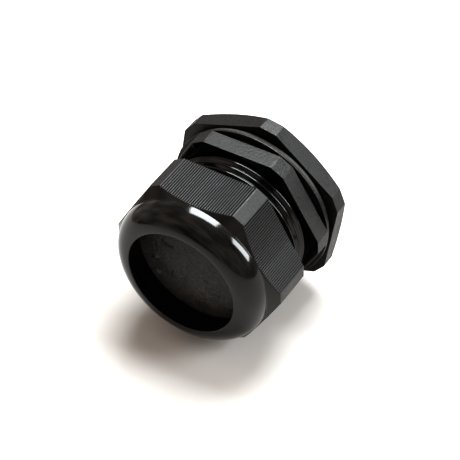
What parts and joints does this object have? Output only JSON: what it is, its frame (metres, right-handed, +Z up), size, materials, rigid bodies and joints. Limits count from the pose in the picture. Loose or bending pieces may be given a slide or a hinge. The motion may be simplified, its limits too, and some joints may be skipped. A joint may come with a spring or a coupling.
{
  "type": "cable gland",
  "caption": "Large black nylon cable gland: a domed clamping nut, a threaded body with a spanner hexagon and collar, and a lock nut for the panel.",
  "frame": {"origin": "on the gland's axis, at the middle of its length", "axes": "+Y along the gland's axis, from the dome nut's lip to the entry thread's end; +Z up, square to a flat of the body's hexagon; +X to the right seen from the dome nut"},
  "size_m": [0.0736, 0.0652, 0.0756],
  "materials": {
    "gloss_nylon": "moulded black nylon, polished on the dome",
    "satin_nylon": "moulded black nylon, satin",
    "matte_nylon": "moulded black nylon, fine matte",
    "black_rubber": "black rubber, matte"
  },
  "bodies": {
    "gland_body": {"gland_body": "satin_nylon"},
    "clamping_cage": {"claw_ring": "satin_nylon", "seal_insert": "black_rubber", "dust_disc": "black_rubber"},
    "dome_nut": {"dome_nut": "gloss_nylon"},
    "clamp_finger_01": {"clamp_finger_01": "satin_nylon"},
    "clamp_finger_02": {"clamp_finger_02": "satin_nylon"},
    "clamp_finger_03": {"clamp_finger_03": "satin_nylon"},
    "clamp_finger_04": {"clamp_finger_04": "satin_nylon"},
    "clamp_finger_05": {"clamp_finger_05": "satin_nylon"},
    "clamp_finger_06": {"clamp_finger_06": "satin_nylon"},
    "clamp_finger_07": {"clamp_finger_07": "satin_nylon"},
    "clamp_finger_08": {"clamp_finger_08": "satin_nylon"},
    "clamp_finger_09": {"clamp_finger_09": "satin_nylon"},
    "clamp_finger_10": {"clamp_finger_10": "satin_nylon"},
    "clamp_finger_11": {"clamp_finger_11": "satin_nylon"},
    "clamp_finger_12": {"clamp_finger_12": "satin_nylon"},
    "clamp_finger_13": {"clamp_finger_13": "satin_nylon"},
    "clamp_finger_14": {"clamp_finger_14": "satin_nylon"},
    "clamp_finger_15": {"clamp_finger_15": "satin_nylon"},
    "clamp_finger_16": {"clamp_finger_16": "satin_nylon"},
    "gasket": {"gasket": "black_rubber"},
    "lock_nut": {"lock_nut": "matte_nylon"}
  },
  "joints": [
    {"name": "cage_travel", "type": "slide", "parent": "gland_body", "child": "clamping_cage", "axis": [0, 1, 0], "range_m": [-0.003, 0.009]},
    {"name": "dome_nut_turn", "type": "hinge", "parent": "clamping_cage", "child": "dome_nut", "pos_m": [0, -0.01185, 0], "axis": [0, 1, 0], "range_deg": [-360, 1080]},
    {"name": "clamp_finger_01_bend", "type": "hinge", "parent": "clamping_cage", "child": "clamp_finger_01", "pos_m": [0, -0.0148, 0.02595], "axis": [-1, 0, 0], "range_deg": [-2.5, 7.5]},
    {"name": "clamp_finger_02_bend", "type": "hinge", "parent": "clamping_cage", "child": "clamp_finger_02", "pos_m": [0.00993, -0.0148, 0.02397], "axis": [-0.9239, 0, 0.3827], "range_deg": [-2.5, 7.5]},
    {"name": "clamp_finger_03_bend", "type": "hinge", "parent": "clamping_cage", "child": "clamp_finger_03", "pos_m": [0.01835, -0.0148, 0.01835], "axis": [-0.7071, 0, 0.7071], "range_deg": [-2.5, 7.5]},
    {"name": "clamp_finger_04_bend", "type": "hinge", "parent": "clamping_cage", "child": "clamp_finger_04", "pos_m": [0.02397, -0.0148, 0.00993], "axis": [-0.3827, 0, 0.9239], "range_deg": [-2.5, 7.5]},
    {"name": "clamp_finger_05_bend", "type": "hinge", "parent": "clamping_cage", "child": "clamp_finger_05", "pos_m": [0.02595, -0.0148, 0], "axis": [0, 0, 1], "range_deg": [-2.5, 7.5]},
    {"name": "clamp_finger_06_bend", "type": "hinge", "parent": "clamping_cage", "child": "clamp_finger_06", "pos_m": [0.02397, -0.0148, -0.00993], "axis": [0.3827, 0, 0.9239], "range_deg": [-2.5, 7.5]},
    {"name": "clamp_finger_07_bend", "type": "hinge", "parent": "clamping_cage", "child": "clamp_finger_07", "pos_m": [0.01835, -0.0148, -0.01835], "axis": [0.7071, 0, 0.7071], "range_deg": [-2.5, 7.5]},
    {"name": "clamp_finger_08_bend", "type": "hinge", "parent": "clamping_cage", "child": "clamp_finger_08", "pos_m": [0.00993, -0.0148, -0.02397], "axis": [0.9239, 0, 0.3827], "range_deg": [-2.5, 7.5]},
    {"name": "clamp_finger_09_bend", "type": "hinge", "parent": "clamping_cage", "child": "clamp_finger_09", "pos_m": [0, -0.0148, -0.02595], "axis": [1, 0, 0], "range_deg": [-2.5, 7.5]},
    {"name": "clamp_finger_10_bend", "type": "hinge", "parent": "clamping_cage", "child": "clamp_finger_10", "pos_m": [-0.00993, -0.0148, -0.02397], "axis": [0.9239, 0, -0.3827], "range_deg": [-2.5, 7.5]},
    {"name": "clamp_finger_11_bend", "type": "hinge", "parent": "clamping_cage", "child": "clamp_finger_11", "pos_m": [-0.01835, -0.0148, -0.01835], "axis": [0.7071, 0, -0.7071], "range_deg": [-2.5, 7.5]},
    {"name": "clamp_finger_12_bend", "type": "hinge", "parent": "clamping_cage", "child": "clamp_finger_12", "pos_m": [-0.02397, -0.0148, -0.00993], "axis": [0.3827, 0, -0.9239], "range_deg": [-2.5, 7.5]},
    {"name": "clamp_finger_13_bend", "type": "hinge", "parent": "clamping_cage", "child": "clamp_finger_13", "pos_m": [-0.02595, -0.0148, 0], "axis": [0, 0, -1], "range_deg": [-2.5, 7.5]},
    {"name": "clamp_finger_14_bend", "type": "hinge", "parent": "clamping_cage", "child": "clamp_finger_14", "pos_m": [-0.02397, -0.0148, 0.00993], "axis": [-0.3827, 0, -0.9239], "range_deg": [-2.5, 7.5]},
    {"name": "clamp_finger_15_bend", "type": "hinge", "parent": "clamping_cage", "child": "clamp_finger_15", "pos_m": [-0.01835, -0.0148, 0.01835], "axis": [-0.7071, 0, -0.7071], "range_deg": [-2.5, 7.5]},
    {"name": "clamp_finger_16_bend", "type": "hinge", "parent": "clamping_cage", "child": "clamp_finger_16", "pos_m": [-0.00993, -0.0148, 0.02397], "axis": [-0.9239, 0, -0.3827], "range_deg": [-2.5, 7.5]},
    {"name": "gasket_travel", "type": "slide", "parent": "gland_body", "child": "gasket", "axis": [0, 1, 0], "range_m": [0, 0.00953]},
    {"name": "lock_nut_turn", "type": "hinge", "parent": "gasket", "child": "lock_nut", "pos_m": [0, 0.0249, 0], "axis": [0, 1, 0], "range_deg": [0, 2160]}
  ],
  "couplings": [
    {"joint": "dome_nut_turn", "follows": "cage_travel", "rad_per_m": 2094.4},
    {"joint": "clamp_finger_01_bend", "follows": "cage_travel", "rad_per_m": 14.544},
    {"joint": "clamp_finger_02_bend", "follows": "cage_travel", "rad_per_m": 14.544},
    {"joint": "clamp_finger_03_bend", "follows": "cage_travel", "rad_per_m": 14.544},
    {"joint": "clamp_finger_04_bend", "follows": "cage_travel", "rad_per_m": 14.544},
    {"joint": "clamp_finger_05_bend", "follows": "cage_travel", "rad_per_m": 14.544},
    {"joint": "clamp_finger_06_bend", "follows": "cage_travel", "rad_per_m": 14.544},
    {"joint": "clamp_finger_07_bend", "follows": "cage_travel", "rad_per_m": 14.544},
    {"joint": "clamp_finger_08_bend", "follows": "cage_travel", "rad_per_m": 14.544},
    {"joint": "clamp_finger_09_bend", "follows": "cage_travel", "rad_per_m": 14.544},
    {"joint": "clamp_finger_10_bend", "follows": "cage_travel", "rad_per_m": 14.544},
    {"joint": "clamp_finger_11_bend", "follows": "cage_travel", "rad_per_m": 14.544},
    {"joint": "clamp_finger_12_bend", "follows": "cage_travel", "rad_per_m": 14.544},
    {"joint": "clamp_finger_13_bend", "follows": "cage_travel", "rad_per_m": 14.544},
    {"joint": "clamp_finger_14_bend", "follows": "cage_travel", "rad_per_m": 14.544},
    {"joint": "clamp_finger_15_bend", "follows": "cage_travel", "rad_per_m": 14.544},
    {"joint": "clamp_finger_16_bend", "follows": "cage_travel", "rad_per_m": 14.544},
    {"joint": "lock_nut_turn", "follows": "gasket_travel", "rad_per_m": 3957.9}
  ]
}
